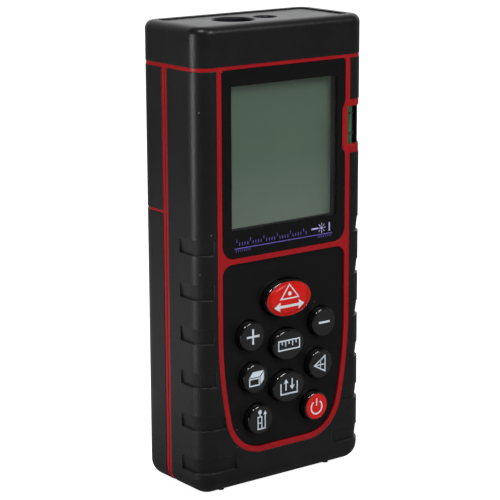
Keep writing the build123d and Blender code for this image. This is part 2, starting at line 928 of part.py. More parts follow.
with BuildPart() as cell:
    add(pillar(-cell_x, cell_y, cell_radius, cell_low, cell_high))
    fillet(cell.edges().filter_by(GeomType.CIRCLE), radius=cell_edge)
    add(pillar(-cell_x, cell_y, cell_nub_radius, cell_high, nub_high))
save(cell.part, "battery_left")
save(other_side(cell.part), "battery_right")

with BuildPart() as spring:
    with BuildLine():
        Helix((coil_length - 2 * wire_radius) / coil_turns, coil_length - 2 * wire_radius, coil_radius)
    with BuildSketch(Plane(origin=(coil_radius, 0, 0), z_dir=(0, 1, coil_slope))):
        Circle(wire_radius)
    sweep(is_frenet=True)
left_spring = Pos(-cell_x, cell_y, cell_low - coil_length + wire_radius) * spring.part
save(left_spring, "spring_left")
save(other_side(left_spring), "spring_right")

for name, side in (("contact_left", -1), ("contact_right", 1)):
    contact = box_between(
        (side * cell_x - contact_half, cell_y - contact_half, contact_low),
        (side * cell_x + contact_half, cell_y + contact_half, contact_low + plate_contact),
    )
    save(contact, name)
bridge = box_between(
    (-cell_x - contact_half, cell_y - contact_half, nub_high),
    (cell_x + contact_half, cell_y + contact_half, nub_high + plate_contact),
)
save(bridge, "contact_bridge")

# ---------------------------------------------------------------- spirit vial
with BuildPart() as vial_tube:
    add(pillar(vial_x, vial_y, vial_radius, tube_low, tube_high))
    add(pillar(vial_x, vial_y, vial_bore, vial_low, vial_high), mode=Mode.SUBTRACT)
save(vial_tube.part, "vial_tube")

with BuildPart() as vial_liquid:
    add(pillar(vial_x, vial_y, vial_bore - liquid_gap, liquid_low, liquid_high))
    add(
        pillar(vial_x, vial_y, slot_radius, liquid_low + slot_low_gap, slot_high),
        mode=Mode.SUBTRACT,
    )
save(vial_liquid.part, "vial_liquid")
with BuildPart() as vial_caps:
    add(pillar(vial_x, vial_y, vial_bore, tube_low, liquid_low))
    add(pillar(vial_x, vial_y, vial_bore, liquid_high, tube_high))
save(vial_caps.part, "vial_caps")
with BuildPart() as bubble:
    with Locations((vial_x, vial_y, slot_high - bubble_gap - bubble_radius)):
        Sphere(bubble_radius)
save(bubble.part, "bubble")

with BuildPart() as holder_body:
    add(block(wall_inset + holder_gap, vial_low - holder_end, vial_high + holder_end))
    add(box_between((holder_x, -far, -far), (far, holder_back_y, far)), mode=Mode.INTERSECT)

with BuildPart() as vial_holder:
    add(block(holder_sink, niche_low + holder_gap, niche_high - holder_gap))
    add(
        box_between(
            (niche_x + holder_gap, front_y, niche_low),
            (far, niche_back_y - holder_gap, niche_high),
        ),
        mode=Mode.INTERSECT,
    )
    add(holder_body.part)
    add(vial_hole, mode=Mode.SUBTRACT)
    add(
        box_between((niche_x, front_y - over, niche_low), (slot_right_x, vial_y, niche_high)),
        mode=Mode.SUBTRACT,
    )
save(vial_holder.part, "vial_holder")
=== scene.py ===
"""Finishes and small details of a hand-held laser distance meter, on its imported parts."""
import json
from math import cos, pi, radians, sin

import bmesh
import bpy
from mathutils import Matrix, Vector


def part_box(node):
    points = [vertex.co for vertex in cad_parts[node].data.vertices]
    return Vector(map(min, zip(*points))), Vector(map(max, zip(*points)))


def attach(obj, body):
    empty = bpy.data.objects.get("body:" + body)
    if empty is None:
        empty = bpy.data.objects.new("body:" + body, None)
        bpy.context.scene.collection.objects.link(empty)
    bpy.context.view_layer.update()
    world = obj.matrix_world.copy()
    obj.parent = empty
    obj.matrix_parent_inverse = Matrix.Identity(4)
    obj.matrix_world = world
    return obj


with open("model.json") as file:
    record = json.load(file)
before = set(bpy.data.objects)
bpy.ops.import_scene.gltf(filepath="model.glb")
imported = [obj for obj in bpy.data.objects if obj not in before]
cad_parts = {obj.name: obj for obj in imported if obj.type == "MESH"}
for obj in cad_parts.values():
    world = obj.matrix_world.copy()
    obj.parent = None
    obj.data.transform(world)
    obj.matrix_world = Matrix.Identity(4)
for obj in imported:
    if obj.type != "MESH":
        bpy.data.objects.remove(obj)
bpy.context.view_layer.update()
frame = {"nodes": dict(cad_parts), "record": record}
nodes = frame["nodes"]
MM = 0.001

SPECK_COLOUR = (0.55, 0.55, 0.54)
EDGE_RADIUS = 0.22 * MM
SPECKS_PER_METRE = 420.0
SPECK_SIZE = 0.07
SPECK_CHANCE = 0.86

# ------------------------------------------------------------------ node groups


def new_group(name, inputs, outputs):
    """An empty shader group with named float, colour or vector sockets."""
    group = bpy.data.node_groups.new(name, "ShaderNodeTree")
    for label, kind, default in inputs:
        socket = group.interface.new_socket(label, in_out="INPUT", socket_type=kind)
        if default is not None:
            socket.default_value = default
    for label, kind in outputs:
        group.interface.new_socket(label, in_out="OUTPUT", socket_type=kind)
    source = group.nodes.new("NodeGroupInput")
    sink = group.nodes.new("NodeGroupOutput")
    return group, source, sink


def math_node(tree, operation, a, b=None, clamp=False):
    """One Math node; each argument is a socket or a number."""
    node = tree.nodes.new("ShaderNodeMath")
    node.operation = operation
    node.use_clamp = clamp
    for slot, value in enumerate((a, b)):
        if value is None:
            continue
        if isinstance(value, (int, float)):
            node.inputs[slot].default_value = value
        else:
            tree.links.new(value, node.inputs[slot])
    return node.outputs[0]


def ramp_node(tree, value, low, high):
    """Maps low..high to 0..1, clamped."""
    node = tree.nodes.new("ShaderNodeMapRange")
    node.interpolation_type = "SMOOTHSTEP"
    node.inputs["From Min"].default_value = low
    node.inputs["From Max"].default_value = high
    tree.links.new(value, node.inputs["Value"])
    return node.outputs["Result"]


def noise_node(tree, coords, scale, detail=3.0, roughness=0.6):
    """A noise texture in object space; scale is per metre or a socket."""
    node = tree.nodes.new("ShaderNodeTexNoise")
    tree.links.new(coords, node.inputs["Vector"])
    if isinstance(scale, (int, float)):
        node.inputs["Scale"].default_value = scale
    else:
        tree.links.new(scale, node.inputs["Scale"])
    node.inputs["Detail"].default_value = detail
    node.inputs["Roughness"].default_value = roughness
    return node.outputs["Fac"]


def make_grain_group():
    """Spark-eroded mould texture: fine pits, with a broad unevenness over them."""
    group, source, sink = new_group(
        "Mould Grain",
        [("Scale", "NodeSocketFloat", 4000.0), ("Broad Scale", "NodeSocketFloat", 60.0)],
        [("Height", "NodeSocketFloat"), ("Broad", "NodeSocketFloat")],
    )
    coords = group.nodes.new("ShaderNodeTexCoord").outputs["Object"]
    fine = noise_node(group, coords, source.outputs["Scale"], 2.0, 0.7)
    cells = group.nodes.new("ShaderNodeTexVoronoi")
    group.links.new(coords, cells.inputs["Vector"])
    group.links.new(source.outputs["Scale"], cells.inputs["Scale"])
    pits = math_node(group, "MULTIPLY", cells.outputs["Distance"], 0.6)
    group.links.new(math_node(group, "ADD", fine, pits), sink.inputs["Height"])
    broad = noise_node(group, coords, source.outputs["Broad Scale"], 4.0, 0.55)
    group.links.new(broad, sink.inputs["Broad"])
    return group


def make_wear_and_highlight_group():
    """Softened edges, and a mask of where they are rubbed and where a highlight is painted on
    them.
    """
    group, source, sink = new_group(
        "Edge Wear And Highlight",
        [("Strength", "NodeSocketFloat", 0.5), ("Break Up", "NodeSocketFloat", 500.0)],
        [("Mask", "NodeSocketFloat"), ("Normal", "NodeSocketVector")],
    )
    bevel = group.nodes.new("ShaderNodeBevel")
    bevel.samples = 6
    bevel.inputs["Radius"].default_value = EDGE_RADIUS
    facing = group.nodes.new("ShaderNodeNewGeometry")
    dot = group.nodes.new("ShaderNodeVectorMath")
    dot.operation = "DOT_PRODUCT"
    group.links.new(bevel.outputs["Normal"], dot.inputs[0])
    group.links.new(facing.outputs["Normal"], dot.inputs[1])
    edge = ramp_node(group, math_node(group, "SUBTRACT", 1.0, dot.outputs["Value"]), 0.02, 0.25)
    coords = group.nodes.new("ShaderNodeTexCoord").outputs["Object"]
    patches = ramp_node(group, noise_node(group, coords, source.outputs["Break Up"]), 0.35, 0.65)
    wear_and_highlight = math_node(group, "MULTIPLY", edge, patches)
    wear_and_highlight = math_node(group, "MULTIPLY", wear_and_highlight, source.outputs["Strength"], clamp=True)
    group.links.new(wear_and_highlight, sink.inputs["Mask"])
    group.links.new(bevel.outputs["Normal"], sink.inputs["Normal"])
    return group


def make_dust_group():
    """Sparse pale specks and a faint film of handling marks."""
    group, source, sink = new_group(
        "Dust",
        [("Specks", "NodeSocketFloat", 0.5), ("Film", "NodeSocketFloat", 0.1)],
        [("Mask", "NodeSocketFloat"), ("Smudge", "NodeSocketFloat")],
    )
    coords = group.nodes.new("ShaderNodeTexCoord").outputs["Object"]
    cells = group.nodes.new("ShaderNodeTexVoronoi")
    cells.inputs["Scale"].default_value = SPECKS_PER_METRE
    group.links.new(coords, cells.inputs["Vector"])
    dots = math_node(group, "LESS_THAN", cells.outputs["Distance"], SPECK_SIZE)
    chance = group.nodes.new("ShaderNodeSeparateColor")
    group.links.new(cells.outputs["Color"], chance.inputs["Color"])
    chosen = math_node(group, "GREATER_THAN", chance.outputs["Red"], SPECK_CHANCE)
    specks = math_node(group, "MULTIPLY", dots, chosen)
    specks = math_node(group, "MULTIPLY", specks, source.outputs["Specks"])
    smudge = ramp_node(group, noise_node(group, coords, 90.0, 5.0, 0.62), 0.45, 0.75)
    film = math_node(group, "MULTIPLY", smudge, source.outputs["Film"])
    group.links.new(math_node(group, "ADD", specks, film, clamp=True), sink.inputs["Mask"])
    group.links.new(smudge, sink.inputs["Smudge"])
    return group


GRAIN = make_grain_group()
EDGE = make_wear_and_highlight_group()
DUST = make_dust_group()


def place_group(tree, group, **values):
    """A group node with its inputs set; underscores in names stand for spaces."""
    node = tree.nodes.new("ShaderNodeGroup")
    node.node_tree = group
    for label, value in values.items():
        node.inputs[label.replace("_", " ")].default_value = value
    return node


def mix_colour(tree, factor, a, b):
    """A colour mix; a and b are sockets or RGB tuples."""
    node = tree.nodes.new("ShaderNodeMix")
    node.data_type = "RGBA"
    tree.links.new(factor, node.inputs[0])
    for socket, value in ((node.inputs[6], a), (node.inputs[7], b)):
        if isinstance(value, tuple):
            socket.default_value = (*value, 1.0)
        else:
            tree.links.new(value, socket)
    return node.outputs[2]


def surface(
    name,
    colour,
    roughness,
    metallic=0.0,
    vary=0.12,
    grain=3500.0,
    relief=0.012,
    wear_and_highlight=None,
    wear_and_highlight_strength=0.0,
    dust=0.0,
    film=0.0,
    coat=0.0,
    specular=0.4,
    subsurface=0.0,
):
    """A moulded, painted or metal finish; relief is the grain's height in millimetres."""
    material = bpy.data.materials.new(name)
    material.use_nodes = True
    tree = material.node_tree
    shader = tree.nodes["Principled BSDF"]
    shader.inputs["Metallic"].default_value = metallic
    shader.inputs["Coat Weight"].default_value = coat
    shader.inputs["Coat Roughness"].default_value = 0.08
    shader.inputs["Specular IOR Level"].default_value = specular
    shader.inputs["Subsurface Weight"].default_value = subsurface
    shader.inputs["Subsurface Radius"].default_value = (0.001, 0.0008, 0.0006)
    skin = place_group(tree, GRAIN, Scale=grain)
    edge = place_group(tree, EDGE, Strength=wear_and_highlight_strength)
    specks = place_group(tree, DUST, Specks=dust, Film=film)
    deep = tuple(c * (1.0 - vary) for c in colour)
    light = tuple(min(1.0, c * (1.0 + vary)) for c in colour)
    paint = mix_colour(tree, skin.outputs["Broad"], deep, light)
    # Edges take the lighter edge colour: partly rubbed wear, partly a painted highlight.
    paint = mix_colour(tree, edge.outputs["Mask"], paint, wear_and_highlight or light)
    paint = mix_colour(tree, specks.outputs["Mask"], paint, SPECK_COLOUR)
    tree.links.new(paint, shader.inputs["Base Color"])
    uneven = math_node(tree, "MULTIPLY", skin.outputs["Broad"], 0.16)
    uneven = math_node(tree, "ADD", uneven, roughness - 0.08)
    polish = math_node(tree, "MULTIPLY", specks.outputs["Smudge"], -0.05)
    tree.links.new(math_node(tree, "ADD", uneven, polish, True), shader.inputs["Roughness"])
    bump = tree.nodes.new("ShaderNodeBump")
    bump.inputs["Strength"].default_value = 1.0
    bump.inputs["Distance"].default_value = relief * MM
    tree.links.new(skin.outputs["Height"], bump.inputs["Height"])
    tree.links.new(edge.outputs["Normal"], bump.inputs["Normal"])
    tree.links.new(bump.outputs["Normal"], shader.inputs["Normal"])
    return material


def clear(name, tint, roughness, ior=1.49, transmission=1.0):
    """A transparent finish, with a light film of marks in its roughness."""
    material = bpy.data.materials.new(name)
    material.use_nodes = True
    tree = material.node_tree
    shader = tree.nodes["Principled BSDF"]
    shader.inputs["Transmission Weight"].default_value = transmission
    shader.inputs["IOR"].default_value = ior
    marks = place_group(tree, DUST, Specks=0.0, Film=0.3)
    shade = tuple(c * 0.96 for c in tint)
    paint = mix_colour(tree, marks.outputs["Smudge"], tint, shade)
    tree.links.new(paint, shader.inputs["Base Color"])
    haze = math_node(tree, "MULTIPLY", marks.outputs["Smudge"], 0.04)
    tree.links.new(math_node(tree, "ADD", haze, roughness), shader.inputs["Roughness"])
    return material


LCD_PALE_BELOW, LCD_EVEN_ABOVE = 62.0 * MM, 84.0 * MM


def lcd_finish():
    """Reflective liquid crystal: grey-green, with painted light making it paler to its foot,
    against the shade of its recess.
    """
    material = surface("lcd cell", (0.222, 0.342, 0.246), 0.5, vary=0.03, relief=0.0, specular=0.2)
    tree = material.node_tree
    shader = tree.nodes["Principled BSDF"]
    before = shader.inputs["Base Color"].links[0].from_socket
    height = tree.nodes.new("ShaderNodeSeparateXYZ")
    tree.links.new(tree.nodes.new("ShaderNodeTexCoord").outputs["Object"], height.inputs[0])
    # Painted light: paler at the foot, fading to the even colour above LCD_EVEN_ABOVE, to lift the
    # shade the recess casts there.
    rise = ramp_node(tree, height.outputs["Z"], LCD_PALE_BELOW, LCD_EVEN_ABOVE)
    paint = mix_colour(tree, rise, (0.35, 0.46, 0.37), before)
    tree.links.new(paint, shader.inputs["Base Color"])
    return material


def board_finish():
    """Green solder mask with the copper runs under it a little lighter."""
    material = surface("circuit board", (0.012, 0.12, 0.045), 0.38, relief=0.004, coat=0.3)
    tree = material.node_tree
    shader = tree.nodes["Principled BSDF"]
    before = shader.inputs["Base Color"].links[0].from_socket
    coords = tree.nodes.new("ShaderNodeTexCoord").outputs["Object"]
    turn = tree.nodes.new("ShaderNodeMapping")
    turn.inputs["Rotation"].default_value = (radians(90), 0, 0)
    tree.links.new(coords, turn.inputs["Vector"])
    runs = tree.nodes.new("ShaderNodeTexBrick")
    runs.inputs["Scale"].default_value = 260.0
    runs.inputs["Mortar Size"].default_value = 0.035
    runs.inputs["Color1"].default_value = (0, 0, 0, 1)
    runs.inputs["Color2"].default_value = (0.1, 0.1, 0.1, 1)
    runs.inputs["Mortar"].default_value = (1, 1, 1, 1)
    tree.links.new(turn.outputs["Vector"], runs.inputs["Vector"])
    paint = mix_colour(tree, runs.outputs["Color"], before, (0.03, 0.26, 0.09))
    tree.links.new(paint, shader.inputs["Base Color"])
    return material


FINISH = {
    "red_abs": surface(
        "red shell",
        (0.36, 0.004, 0.008),
        0.36,
        relief=0.004,
        wear_and_highlight=(0.46, 0.02, 0.02),
        wear_and_highlight_strength=0.4,
        specular=0.25,
    ),
    "armour": surface(
        "rubber armour",
        (0.0072, 0.0071, 0.0075),
        0.37,
        vary=0.22,
        grain=2600.0,
        relief=0.034,
        # Edge colour and strength: partly rubbed wear, partly a painted highlight along the ledge
        # edges.
        wear_and_highlight=(0.085, 0.085, 0.087),
        wear_and_highlight_strength=0.8,
        dust=0.3,
        film=0.006,
        specular=0.36,
    ),
    "black_gloss": surface(
        "polished black",
        (0.014, 0.014, 0.020),
        0.30,
        relief=0.0008,
        dust=0.2,
        wear_and_highlight_strength=0.2,
        specular=0.32,
    ),
    "black_matt": surface(
        "moulded black",
        (0.0055, 0.0055, 0.006),
        0.42,
        relief=0.010,
        dust=0.2,
        wear_and_highlight_strength=0.3,
        specular=0.22,
    ),
    "window_clear": clear("window pane", (1.0, 1.0, 1.0), 0.02),
    "mask_ink": surface("black ink", (0.0050, 0.0048, 0.0052), 0.30, relief=0.0004, specular=0.25),
    # The gasket's dark purple-grey is painted shade: it stands in for the shadow of the mask edge
    # on the window's inner wall.
    "gasket_foam": surface("gasket painted as mask shadow", (0.030, 0.026, 0.042), 0.6, vary=0.1, relief=0.006),
    "lcd": lcd_finish(),
    "white_plastic": surface("diffuser white", (0.72, 0.72, 0.70), 0.5, subsurface=0.1),
    "key_black": surface(
        "key rubber",
        (0.0055, 0.0055, 0.006),
        0.11,
        grain=4200.0,
        relief=0.003,
        dust=0.2,
        wear_and_highlight=(0.035, 0.035, 0.035),
        wear_and_highlight_strength=0.5,
        specular=0.9,
    ),
    "key_red": surface(
        "red key rubber",
        (0.68, 0.008, 0.005),
        0.30,
        grain=4200.0,
        relief=0.003,
        dust=0.3,
        vary=0.08,
        specular=0.26,
    ),
    "silicone": surface("grey silicone", (0.35, 0.35, 0.36), 0.55, subsurface=0.15),
    "dome_steel": surface("dome steel", (0.55, 0.55, 0.54), 0.28, 1.0, relief=0.002),
    "board": board_finish(),
    "chip": surface("epoxy package", (0.02, 0.02, 0.021), 0.55, relief=0.008),
    "buzzer_case": surface("buzzer case", (0.018, 0.018, 0.018), 0.4, relief=0.006),
    "screw_steel": surface("plated steel", (0.42, 0.42, 0.42), 0.3, 1.0, relief=0.003, wear_and_highlight_strength=0.5),
    "lens_glass": clear("coated lens", (0.86, 0.90, 1.0), 0.01, 1.52),
    "optic_black": surface("flocked black", (0.006, 0.006, 0.006), 0.7, relief=0.012),
    "brass_barrel": surface("turned brass", (0.62, 0.44, 0.16), 0.28, 1.0, relief=0.002),
    "shield": surface("tinned steel", (0.58, 0.58, 0.57), 0.32, 1.0, relief=0.003),
    "detector": surface("detector can", (0.5, 0.5, 0.47), 0.3, 1.0, relief=0.002),
    "cell": surface("cell sleeve", (0.03, 0.045, 0.09), 0.3, 0.3, relief=0.001, coat=0.4),
    "contact": surface("nickel plate", (0.62, 0.61, 0.58), 0.25, 1.0, relief=0.002),
    "label": surface("silver label", (0.42, 0.42, 0.42), 0.4, 0.4, relief=0.001, film=0.1),
    "vial_clear": clear("vial tube", (0.93, 1.0, 0.95), 0.01),
    "vial_green": clear("vial spirit", (0.004, 0.42, 0.12), 0.12, 1.36, 0.15),
    "vial_cap": surface("end plug", (0.7, 0.7, 0.68), 0.5),
    "air": clear("air", (1.0, 1.0, 1.0), 0.0, 1.0),
}
PRINT_WHITE = surface("white print", (0.78, 0.80, 0.84), 0.45, vary=0.05, relief=0.002)
PRINT_PALE = surface("pale print", (0.70, 0.78, 0.86), 0.45, vary=0.05, relief=0.002)
PRINT_PURPLE = surface("purple print", (0.15, 0.11, 0.52), 0.4, vary=0.1, relief=0.001)
PRINT_LILAC = surface("lilac print", (0.50, 0.46, 0.86), 0.4, vary=0.1, relief=0.001)
PRINT_BLACK = surface("black print", (0.015, 0.015, 0.015), 0.5, vary=0.1, relief=0.001)
SOLDER = surface("solder", (0.6, 0.6, 0.6), 0.3, 1.0, relief=0.002)
CERAMIC = surface("chip ceramic", (0.32, 0.22, 0.13), 0.5, relief=0.003)

slots = {row["node"]: row["material_slot"] for row in frame["record"]["subparts"]}
for label, thing in nodes.items():
    thing.data.materials.clear()
    thing.data.materials.append(FINISH[slots[label]])

# ------------------------------------------------------------------ shapes from outlines


def place(name, verts, faces, material, body, smooth=False):
    """A mesh piece from millimetre points, riding on a body."""
    mesh = bpy.data.meshes.new(name)
    mesh.from_pydata([Vector(v) * MM for v in verts], [], faces)
    shape = bmesh.new()
    shape.from_mesh(mesh)
    bmesh.ops.recalc_face_normals(shape, faces=shape.faces)
    for face in shape.faces:
        face.smooth = smooth
    shape.to_mesh(mesh)
    shape.free()
    thing = bpy.data.objects.new(name, mesh)
    bpy.context.scene.collection.objects.link(thing)
    mesh.materials.append(material)
    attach(thing, body)
    return thing


def stroke(points, width, closed=False, step=0.35):
    """Quads along a line of (x, z) points, with mitred corners, short enough to follow a dome."""
    path = []
    ends = list(zip(points, points[1:] + (points[:1] if closed else [])))
    if not closed:
        ends = ends[: len(points) - 1]
    for (x0, z0), (x1, z1) in ends:
        count = max(1, int(((x1 - x0) ** 2 + (z1 - z0) ** 2) ** 0.5 / step))
        path += [(x0 + (x1 - x0) * i / count, z0 + (z1 - z0) * i / count) for i in range(count)]
    if not closed:
        path.append(points[-1])
    count = len(path)
    left, right = [], []
    for i, (x, z) in enumerate(path):
        before = path[(i - 1) % count] if closed or i else path[i]
        after = path[(i + 1) % count] if closed or i < count - 1 else path[i]
        a = Vector((x - before[0], z - before[1]))
        b = Vector((after[0] - x, after[1] - z))
        a = a.normalized() if a.length else b.normalized()
        b = b.normalized() if b.length else a
        mid = (a + b).normalized()
        across = Vector((-mid.y, mid.x))
        reach = width / 2 / max(0.45, across.dot(Vector((-a.y, a.x))))
        left.append((x + across.x * reach, z + across.y * reach))
        right.append((x - across.x * reach, z - across.y * reach))
    quads = []
    for i in range(count if closed else count - 1):
        j = (i + 1) % count
        quads.append([left[i], left[j], right[j], right[i]])
    return quads


def filled(points):
    """One filled outline of (x, z) points."""
    return [list(points)]


def ring(x, z, rx, rz=None, start=0.0, end=360.0, count=28):
    """Points of an ellipse's arc."""
    rz = rx if rz is None else rz
    turns = [radians(start + (end - start) * i / count) for i in range(count + 1)]
    return [(x + rx * cos(t), z + rz * sin(t)) for t in turns]


PRINT_GAP = 0.004
STACK_STEP = 0.0015


def joined_runs(quads):
    """Outlines grouped into runs, each outline sharing a side with the one before it."""
    runs, last = [], set()
    for quad in quads:
        corners = {(round(x, 5), round(z, 5)) for x, z in quad}
        if len(corners & last) < 2:
            runs.append([])
        runs[-1].append(quad)
        last = corners
    return runs


def printed(name, quads, depth_of, material, body, thickness=0.03, out=-1.0):
    """Filled outlines laid on a surface, given by its depth at (x, z), facing -Y (out -1) or +Y.

    Each run of outlines is one closed skin, a hair thicker than the run before it, which it
    may cross.
    """
    verts, faces = [], []
    for count, run in enumerate(joined_runs(quads)):
        top = thickness + STACK_STEP * count
        index, sides = {}, {}
        for quad in run:
            ids = []
            for x, z in quad:
                corner = (round(x, 5), round(z, 5))
                if corner not in index:
                    index[corner] = len(verts)
                    for lift in (0.0, top):
                        verts.append((x, depth_of(x, z) + out * (lift + PRINT_GAP), z))
                ids.append(index[corner])
            faces.append(ids)
            faces.append([i + 1 for i in reversed(ids)])
            for i, j in zip(ids, ids[1:] + ids[:1]):
                if i != j:
                    sides.setdefault(frozenset((i, j)), []).append((i, j))
        for uses in sides.values():
            if len(uses) == 1:
                i, j = uses[0]
                faces.append([i, j, j + 1, i + 1])
    return place(name, verts, faces, material, body)


def moved(quads, x, z):
    """Outlines drawn about the origin, moved to (x, z)."""
    return [[(px + x, pz + z) for px, pz in quad] for quad in quads]


# ------------------------------------------------------------------ keys: crown and symbols

CROWN_EDGE = 0.03
CROWN_RISE = 0.30
CROWN_SINK = 0.02
CROWN_RINGS, CROWN_AROUND = 12, 56
SYMBOL_THICKNESS = 0.025


def key_face(key):
    """A key's centre, half sizes and the depth of its face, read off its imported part."""
    part = "cap_" + key if "cap_" + key in nodes else "key_" + key
    low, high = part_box(part)
    x, z = (low[0] + high[0]) / 2 / MM, (low[2] + high[2]) / 2 / MM
    return x, z, (high[0] - low[0]) / 2 / MM, (high[2] - low[2]) / 2 / MM, low[1] / MM


def add_crown(key, material):
    """The gently domed top of a key, and the depth of its surface as a function."""
    x0, z0, half_x, half_z, top = key_face(key)
    half_x, half_z = half_x - CROWN_EDGE, half_z - CROWN_EDGE

    def depth(x, z):
        reach = ((x - x0) / half_x) ** 2 + ((z - z0) / half_z) ** 2
        return top - CROWN_RISE * max(0.0, 1.0 - reach) ** 1.6

    verts, faces = [(x0, depth(x0, z0), z0)], []
    for i in range(1, CROWN_RINGS + 1):
        for j in range(CROWN_AROUND):
            turn = 2 * pi * j / CROWN_AROUND
            x = x0 + half_x * i / CROWN_RINGS * cos(turn)
            z = z0 + half_z * i / CROWN_RINGS * sin(turn)
            verts.append((x, depth(x, z) + (CROWN_SINK if i == CROWN_RINGS else 0.0), z))
    for j in range(CROWN_AROUND):
        k = (j + 1) % CROWN_AROUND
        faces.append([0, 1 + j, 1 + k])
        for i in range(CROWN_RINGS - 1):
            a, b = 1 + i * CROWN_AROUND, 1 + (i + 1) * CROWN_AROUND
            faces.append([a + j, b + j, b + k, a + k])
    under = len(verts)
    verts.append((x0, top + CROWN_SINK, z0))
    rim = 1 + (CROWN_RINGS - 1) * CROWN_AROUND
    faces += [[under, rim + (j + 1) % CROWN_AROUND, rim + j] for j in range(CROWN_AROUND)]
    place(f"crown_{key}", verts, faces, material, key + "_key", smooth=True)
    return x0, z0, depth


def flat_top(key):
    """The centre of a flat key, and the depth of its face as a function."""
    x0, z0, _, _, top = key_face(key)
    return x0, z0, lambda x, z: top


def plus_symbol():
    """A plus sign."""
    return stroke([(-1.9, 0), (1.9, 0)], 0.55) + stroke([(0, -1.9), (0, 1.9)], 0.55)


def minus_symbol():
    """A minus sign."""
    return stroke([(-1.75, 0), (1.75, 0)], 0.55)


def unit_symbol():
    """A short rule with divisions, for changing the unit."""
    shape = stroke([(-3.2, -1.15), (3.2, -1.15), (3.2, 1.15), (-3.2, 1.15)], 0.36, True)
    for i, x in enumerate((-2.13, -1.07, 0.0, 1.07, 2.13)):
        foot = -0.35 if i % 2 else 0.2
        shape += stroke([(x, 1.15), (x, foot)], 0.32)
    return shape


def volume_symbol():
    """A solid box with its front in outline, for areas and volumes."""
    shape = filled([(-1.0, 1.75), (2.2, 1.75), (1.05, 0.35), (-2.15, 0.35)])
    shape += filled([(2.3, 1.5), (2.3, -0.55), (1.25, -1.75), (1.25, 0.2)])
    shape += stroke([(-2.0, 0.0), (0.9, 0.0), (0.9, -1.7), (-2.0, -1.7)], 0.36, True)
    return shape


def triangle_symbol():
    """A triangle with its height drawn, for indirect measuring."""
    shape = stroke([(-2.1, -0.15), (1.2, 1.95), (1.2, -1.95)], 0.34, True)
    shape += stroke([(-2.0, -0.15), (1.1, -0.15)], 0.28)
    shape += stroke([(-0.2, 1.0), (-0.2, -1.3)], 0.24)
    return shape


def memory_symbol():
    """A tray with an arrow in and an arrow out, for stored readings."""
    shape = stroke([(-2.5, 1.1), (-2.5, -1.7), (2.5, -1.7), (2.5, 1.1)], 0.38)
    shape += stroke([(-0.95, -0.85), (-0.95, 1.1)], 0.4)
    shape += filled([(-1.7, 0.95), (-0.2, 0.95), (-0.95, 2.05)])
    shape += stroke([(0.95, 2.0), (0.95, 0.1)], 0.4)
    shape += filled([(0.2, 0.25), (0.95, -0.85), (1.7, 0.25)])
    return shape


def reference_symbol():
    """The body in outline beside an arrow and a dot, for the measuring edge."""
    shape = stroke([(-0.9, -2.3), (0.25, -2.3), (0.25, 0.7), (-0.9, 0.7)], 0.32, True)
    shape += stroke([(-0.9, -0.8), (0.25, -0.8)], 0.28)
    shape += stroke([(-0.32, 0.7), (-0.32, 1.5)], 0.34)
    shape += filled(ring(-0.32, 1.95, 0.55, count=18)[:-1])
    shape += stroke([(0.25, -2.3), (1.25, -2.3), (1.25, 1.25)], 0.32)
    shape += filled([(0.7, 1.15), (1.8, 1.15), (1.25, 2.2)])
    return shape


def power_symbol():
    """An open ring and a bar, for off."""
    shape = stroke(ring(0, -0.2, 1.7, start=125, end=415), 0.42)
    shape += stroke([(0, 0.2), (0, 2.0)], 0.42)
    return shape


def measure_symbol():
    """A triangle round a dot, over a double-headed arrow."""
    shape = stroke([(-2.7, 0.15), (2.7, 0.15), (0.0, 3.55)], 0.34, True)
    shape += filled(ring(0.0, 1.3, 0.52)[:-1])
    shape += stroke([(-2.9, -1.75), (2.9, -1.75)], 0.7)
    shape += filled([(-2.8, -0.55), (-2.8, -2.95), (-4.6, -1.75)])
    shape += filled([(2.8, -0.55), (4.6, -1.75), (2.8, -2.95)])
    return shape


SYMBOLS = {
    "read": (measure_symbol, PRINT_WHITE),
    "plus": (plus_symbol, PRINT_PALE),
    "minus": (minus_symbol, PRINT_PALE),
    "unit": (unit_symbol, PRINT_PALE),
    "volume": (volume_symbol, PRINT_PALE),
    "triangle": (triangle_symbol, PRINT_PALE),
    "memory": (memory_symbol, PRINT_PALE),
    "reference": (reference_symbol, PRINT_PALE),
    "off": (power_symbol, PRINT_WHITE),
}
for key, (draw, ink) in SYMBOLS.items():
    if key == "read":
        x0, z0, depth = add_crown(key, FINISH["key_red"])
    else:
        x0, z0, depth = flat_top(key)
    outlines = moved(draw(), x0, z0)
    printed(f"symbol_{key}", outlines, depth, ink, key + "_key", SYMBOL_THICKNESS)

# ------------------------------------------------------------------ repeated bars


